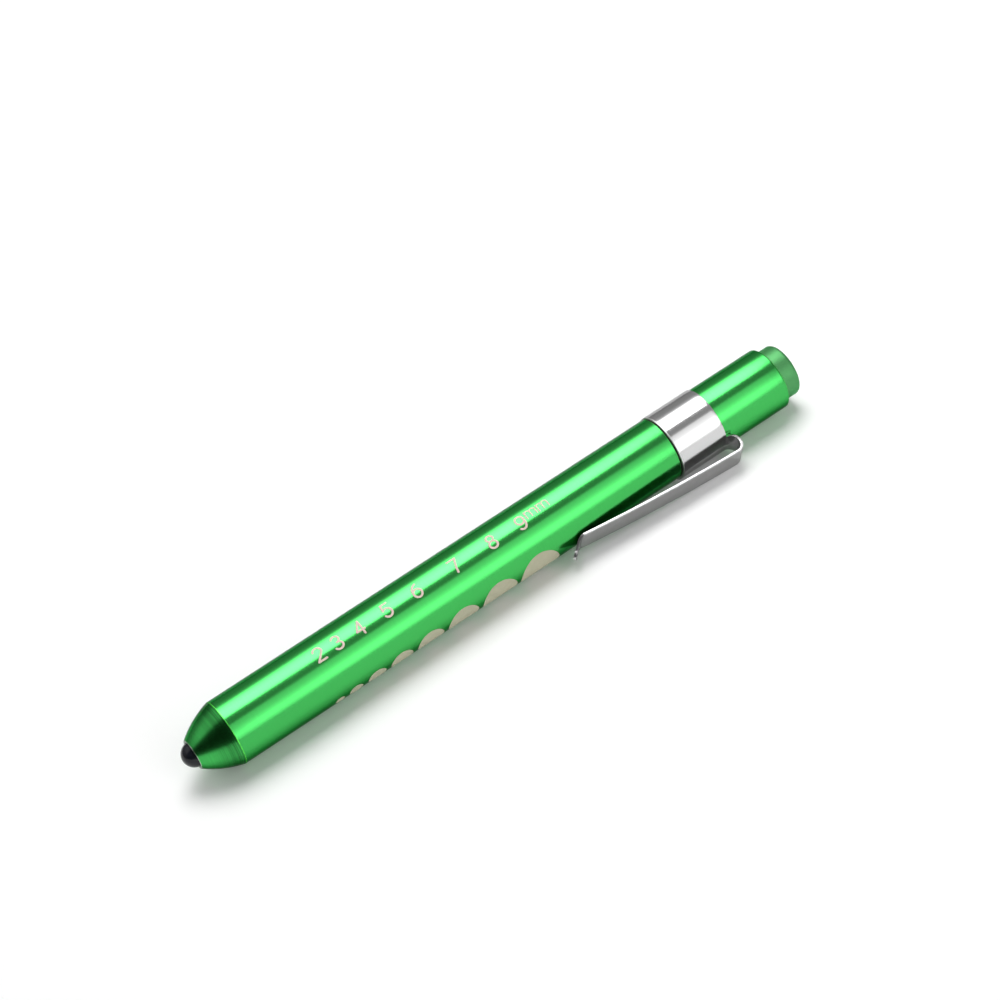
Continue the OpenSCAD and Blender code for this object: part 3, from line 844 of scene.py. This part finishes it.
# The ring is polished along the strip, its front edge is rubbed dull, and the arm is satin
rubbed_w, rubbed_dulling = 0.35, 0.4
satin_over, satin_dulling = 3.0, 0.16
bright_steel = new_finish(
    "bright_steel", (0.61, 0.61, 0.61), 0.11, clouds=0.3, dulling=0.07, darkening=0.08,
    Metallic=1.0, Specular_Tint=(0.5, 0.5, 0.5, 1),
)
steel_tree = bright_steel.node_tree
strip_uv = add_node(steel_tree, "ShaderNodeUVMap", uv_map="strip")
strip_stretch = add_node(
    steel_tree, "ShaderNodeMapping", {"Vector": strip_uv, "Scale": (0.12, 14.0, 1.0)}
)
strip_grain = add_node(
    steel_tree, "ShaderNodeTexNoise",
    {"Vector": strip_stretch, "Scale": 1.0, "Detail": 4.0, "Roughness": 0.65},
    noise_dimensions="2D",
)
add_relief(bright_steel, strip_grain, depth=0.003, strength=0.5)
strip_split = add_node(steel_tree, "ShaderNodeSeparateXYZ", {0: strip_uv})
strip_run = strip_split.outputs["X"]
edge_dull = add_fade(
    steel_tree, strip_run, ring_from, ring_from + rubbed_w, low=rubbed_dulling, high=0.0
)
arm_dull = add_fade(
    steel_tree, strip_run, ring_to, ring_to + satin_over, low=0.0, high=satin_dulling
)
strip_dull = add_math(steel_tree, "ADD", edge_dull, arm_dull)
steel_marks = steel_tree.nodes["handling_marks"]
strip_rough = add_math(steel_tree, "ADD", strip_dull, steel_marks.outputs["Roughness"])
steel_tree.links.new(
    strip_rough.outputs[0], steel_tree.nodes["Principled BSDF"].inputs["Roughness"]
)
clip.data.materials.clear()
clip.data.materials.append(bright_steel)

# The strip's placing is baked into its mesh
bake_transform(clip)


# The tail: a turned aluminium sleeve in the barrel's green. Its neck carries the ring, its
# threaded spigot screws into the barrel, and a web parts the switch's bore from the
# button's pocket.
tail_r, tail_from = 6.55, 121.5
neck_r, neck_from = 6.05, 110.61
spigot_r, spigot_from = 5.75, 105.89
spigot_lead, spigot_bevel, undercut_w = 0.25, 0.2, 0.02
tail_bore_r = 5.2
web_from, web_to, web_hole_r = 125.55, 127.05, 2.1
pocket_r = 5.55
neck_round, shoulder_round, tail_edge_r, pocket_round = 0.1, 0.12, 0.35, 0.12
tail_round_steps = 8
thread_pitch, thread_depth, thread_lead_in = 0.75, 0.2, 0.4
thread_rows = 56
thread_from, thread_to = spigot_from + spigot_lead, neck_from - undercut_w
thread_line = [
    (thread_from + (thread_to - thread_from) * k / thread_rows, spigot_r)
    for k in range(thread_rows + 1)
]


def thread_relief(x, r, turn):
    """Helical thread on the spigot's outside, fading out at both of its ends."""
    if not math.isclose(r, spigot_r, abs_tol=0.001):
        return 0
    groove = abs(((x - spigot_from) / thread_pitch - turn / (2 * math.pi)) % 1 - 0.5) * 2
    fade = min(max((x - spigot_from - thread_lead_in / 2) / thread_lead_in, 0), 1)
    fade *= min(max((neck_from - thread_lead_in - x) / thread_lead_in, 0), 1)
    return -thread_depth * (1 - groove) * fade


tail_outline = [
    (spigot_from, tail_bore_r), (spigot_from, spigot_r - spigot_bevel), *thread_line,
    (neck_from, neck_r), (tail_from, neck_r), (tail_from, tail_r), (tail_end, tail_r),
    (tail_end, pocket_r), (web_to, pocket_r), (web_to, web_hole_r), (web_from, web_hole_r),
    (web_from, tail_bore_r),
]
neck_corner = 2 + len(thread_line)
tail_rounds = {
    neck_corner: neck_round, neck_corner + 2: shoulder_round,
    neck_corner + 3: tail_edge_r, neck_corner + 4: pocket_round,
}
tail_mesh = turned(
    "tail_turned", eased(tail_outline, tail_rounds, steps=tail_round_steps), relief=thread_relief
)
tail = new_piece("tail_turned", tail_mesh, "tail", "green_anodised", "tail_tube")
tail.data.materials.append(anodised_green)


# The switch's contact side: a conical spring of plated wire on the rear cell, a brass plate
# under it, and a brass ring pressed into the tail's bore that keeps the switch in.
battery_spring_from, battery_spring_to = 104.8, 113.15
battery_spring_front_r, battery_spring_rear_r = 2.4, 3.1
battery_spring_turns, battery_wire_r = 5, 0.3
coil_sides, coil_steps = 12, 48
wire_tip_share, wire_taper = 0.35, 8


def wound(name, x_from, x_to, r_from, r_to, turns, wire_r):
    """Round wire wound about the pen's axis, its ends ground to a blunt point."""
    bm = bmesh.new()
    rings = []
    count = round(turns * coil_steps)
    for i in range(count + 1):
        u = i / count
        turn = 2 * math.pi * turns * u
        wire = wire_r * min(1, wire_tip_share + wire_taper * min(u, 1 - u) * turns)
        x = x_from + wire_r + (x_to - x_from - 2 * wire_r) * u
        r = r_from + (r_to - r_from) * u
        rings.append([
            bm.verts.new(pen_point(x + wire * math.sin(b), r + wire * math.cos(b), turn))
            for b in (2 * math.pi * k / coil_sides for k in range(coil_sides))
        ])
    for a, b in zip(rings, rings[1:]):
        for k in range(coil_sides):
            after = (k + 1) % coil_sides
            bm.faces.new((a[k], a[after], b[after], b[k]))
    bm.faces.new(rings[0])
    bm.faces.new(rings[-1])
    return finish_mesh(bm, name)


spring_wire = new_finish(
    "spring_wire", (0.6, 0.6, 0.61), 0.25, clouds=1.5, dulling=0.14, darkening=0.15, Metallic=1.0,
)
battery_spring_mesh = wound(
    "battery_spring_wire", battery_spring_from, battery_spring_to,
    battery_spring_front_r, battery_spring_rear_r, battery_spring_turns, battery_wire_r,
)
battery_spring = new_piece(
    "battery_spring_wire", battery_spring_mesh, "tail", "spring_wire", "battery_spring"
)
battery_spring.data.materials.append(spring_wire)
dress(turned_brass, "contact_plate", "retaining_ring")


# The click switch: a moulded white cup and cap in the tail's bore, a compression spring, a
# brass cam that turns as it is pressed, and a black plunger whose stem carries the button.
switch_spring_from, switch_spring_to = 114.75, 118.4
switch_spring_r, switch_spring_turns, switch_wire_r = 2.2, 4, 0.18
white_moulding = new_finish(
    "white_moulding", (0.78, 0.77, 0.72), 0.42, clouds=0.8, dulling=0.15, darkening=0.1,
)
add_grain(white_moulding, per_mm=5, detail=2.0, depth=0.02, strength=0.3)
dress(white_moulding, "switch_cap", "switch_body")
dress(turned_brass, "switch_rotor")
dress(black_plug, "switch_plunger")
switch_spring_mesh = wound(
    "switch_spring_wire", switch_spring_from, switch_spring_to,
    switch_spring_r, switch_spring_r, switch_spring_turns, switch_wire_r,
)
switch_spring = new_piece(
    "switch_spring_wire", switch_spring_mesh, "tail", "spring_wire", "switch_spring"
)
switch_spring.data.materials.append(spring_wire)
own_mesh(switch_spring)


# The push button: a turned aluminium cap, bead blasted before it was anodised, so its green
# is matt and paler than the tail's. Its boss is pressed on the plunger's stem.
button_r, button_from, button_end = 5.45, 129.5, 141.5
button_skirt_r, button_floor = 4.55, 139.9
boss_r, boss_from, boss_hole_r = 3.2, 131.5, 1.92
skirt_in_round, skirt_round, button_edge_r, boss_round = 0.1, 0.15, 0.8, 0.1
button_round_steps = 10
button_outline = [
    (button_from, button_skirt_r), (button_from, button_r), (button_end, button_r),
    (button_end, on_axis_r), (button_floor, on_axis_r), (button_floor, boss_hole_r),
    (boss_from, boss_hole_r), (boss_from, boss_r), (button_floor, boss_r),
    (button_floor, button_skirt_r),
]
button_rounds = {0: skirt_in_round, 1: skirt_round, 2: button_edge_r, 6: boss_round, 7: boss_round}
button_mesh = turned("button_cap", eased(button_outline, button_rounds, steps=button_round_steps))
button = new_piece("button_cap", button_mesh, "button", "green_matt", "push_button")
blasted_green = new_finish(
    "blasted_green", (0.095, 0.34, 0.12), 0.4, clouds=0.6, dulling=0.08, darkening=0.12,
    Metallic=0.85, Specular_Tint=(0.4, 0.7, 0.5, 1),
)
add_grain(blasted_green, per_mm=9, detail=3.0, depth=0.012, strength=0.6)
button.data.materials.append(blasted_green)


# The studio: a pale paper floor under the pen, a large softbox over its far side, a second one
# low in front of it, and a dim room that is lightest behind the pen and darkest at its nose.
floor_r, floor_drop = 6.0, 0.05
paper_lift = 0.07
floor_bm = bmesh.new()
bmesh.ops.create_circle(floor_bm, cap_ends=True, segments=96, radius=floor_r)
floor = bpy.data.objects.new("floor", finish_mesh(floor_bm, "floor"))
floor.location.z = -floor_drop * MM
bpy.context.collection.objects.link(floor)
floor_paper = bpy.data.materials.new("floor_paper")
floor_paper.use_nodes = True
paper_tree = floor_paper.node_tree
paper = paper_tree.nodes["Principled BSDF"]
paper.inputs["Base Color"].default_value = (0.94, 0.94, 0.94, 1)
paper.inputs["Roughness"].default_value = 0.9
paper.inputs["Specular IOR Level"].default_value = 0.0
paper.inputs["Emission Color"].default_value = (1, 1, 1, 1)
# Paper that the camera, or metal, looks at straight is lifted to a plain white
paper_seen = add_node(paper_tree, "ShaderNodeLightPath")
seen_or_mirrored = add_math(
    paper_tree, "MAXIMUM", paper_seen.outputs["Is Camera Ray"], paper_seen.outputs["Is Glossy Ray"]
)
seen_at_all = add_math(
    paper_tree, "MAXIMUM", seen_or_mirrored, paper_seen.outputs["Is Transmission Ray"]
)
paper_white = add_math(paper_tree, "MULTIPLY", seen_at_all, paper_lift)
paper_tree.links.new(paper_white.outputs[0], paper.inputs["Emission Strength"])
floor.data.materials.append(floor_paper)


def softbox(name, elevation, spread, x_from, x_to, distance, levels, flare=0):
    """Glowing panel square to the pen, seen from it at an elevation in degrees that runs from
    the front over the top; levels are (share from its lower or front edge, radiance) pairs,
    and flare is the share by which its rear upper corner stands higher."""
    middle, half = math.radians(elevation), distance * math.tan(math.radians(spread / 2))
    out = Vector((0, -math.cos(middle), math.sin(middle)))
    rise = Vector((0, math.sin(middle), math.cos(middle)))
    centre = Vector((0, pen_y * MM, pen_z * MM)) + out * distance
    bm = bmesh.new()
    corners = [
        bm.verts.new(centre + Vector((x, 0, 0)) + rise * v)
        for x, v in ((x_from, -half), (x_to, -half), (x_to, half * (1 + flare)), (x_from, half))
    ]
    face = bm.faces.new(corners)
    uv = bm.loops.layers.uv.new("panel")
    for loop, corner in zip(face.loops, ((0, 0), (1, 0), (1, 1), (0, 1))):
        loop[uv].uv = corner
    mesh = bpy.data.meshes.new(name)
    bm.to_mesh(mesh)
    bm.free()
    if mesh.polygons[0].normal.dot(out) > 0:
        mesh.flip_normals()
    panel = bpy.data.objects.new(name, mesh)
    bpy.context.collection.objects.link(panel)
    panel.visible_camera = False
    cloth = bpy.data.materials.new(name + "_cloth")
    cloth.use_nodes = True
    tree = cloth.node_tree
    tree.nodes.remove(tree.nodes["Principled BSDF"])
    place = add_node(tree, "ShaderNodeUVMap", uv_map="panel")
    split = add_node(tree, "ShaderNodeSeparateXYZ", {0: place})
    ramp = add_node(tree, "ShaderNodeValToRGB", {0: split.outputs["Y"]})
    ramp.color_ramp.interpolation = "EASE"
    peak = max(level for _, level in levels)
    while len(ramp.color_ramp.elements) < len(levels):
        ramp.color_ramp.elements.new(0.5)
    for element, (share, level) in zip(ramp.color_ramp.elements, levels):
        element.position = share
        element.color = (level / peak, level / peak, level / peak, 1)
    side = add_node(tree, "ShaderNodeNewGeometry")
    front = add_math(tree, "SUBTRACT", 1.0, side.outputs["Backfacing"])
    strength = add_math(tree, "MULTIPLY", front, peak)
    glow = add_node(tree, "ShaderNodeEmission", {"Color": ramp, "Strength": strength})
    tree.links.new(glow.outputs[0], tree.nodes["Material Output"].inputs["Surface"])
    panel.data.materials.append(cloth)


panel_distance = 0.8
softbox(
    "softbox_far", elevation=108.6, spread=50, x_from=-0.06, x_to=0.5, distance=panel_distance,
    levels=[(0.0, 5.3), (0.4, 5.8), (0.7, 4.7), (0.88, 2.2), (1.0, 0.9)],
)
softbox(
    "softbox_front", elevation=28.6, spread=56, x_from=0.0, x_to=0.56, distance=panel_distance,
    levels=[(0.0, 1.45), (0.15, 2.3), (0.255, 2.75), (0.4, 2.75), (0.546, 2.05), (0.7, 1.5),
            (0.877, 1.28), (1.0, 1.15)],
    flare=0.12,
)

world = bpy.data.worlds.new("studio_room")
bpy.context.scene.world = world
world.use_nodes = True
room_tree = world.node_tree
room = room_tree.nodes["Background"]
room.inputs["Color"].default_value = (1, 1, 1, 1)
room_place = add_node(room_tree, "ShaderNodeTexCoord")
room_split = add_node(room_tree, "ShaderNodeSeparateXYZ", {0: room_place.outputs["Generated"]})
room_x, room_y, room_z = (room_split.outputs[axis] for axis in "XYZ")
smooth = {"interpolation_type": "SMOOTHSTEP"}
# Behind the pen the room gets lighter with height, and more so on the nose's side; in front of
# the pen only the tail's side has some light
room_high = add_fade(room_tree, room_z, start=0.35, end=0.75, low=0.2, high=0.6, **smooth)
room_left = add_fade(room_tree, room_x, start=-0.3, end=0.0, low=1.5, high=1.0)
room_top = add_math(room_tree, "MULTIPLY", room_high, room_left)
room_back = add_fade(room_tree, room_y, start=-0.08, end=0.12, low=0.0, high=room_top, **smooth)
room_right = add_fade(room_tree, room_x, start=-0.2, end=0.15, low=0.02, high=0.35, **smooth)
room_level = add_math(room_tree, "MAXIMUM", room_back, room_right)
room_tree.links.new(room_level.outputs[0], room.inputs["Strength"])
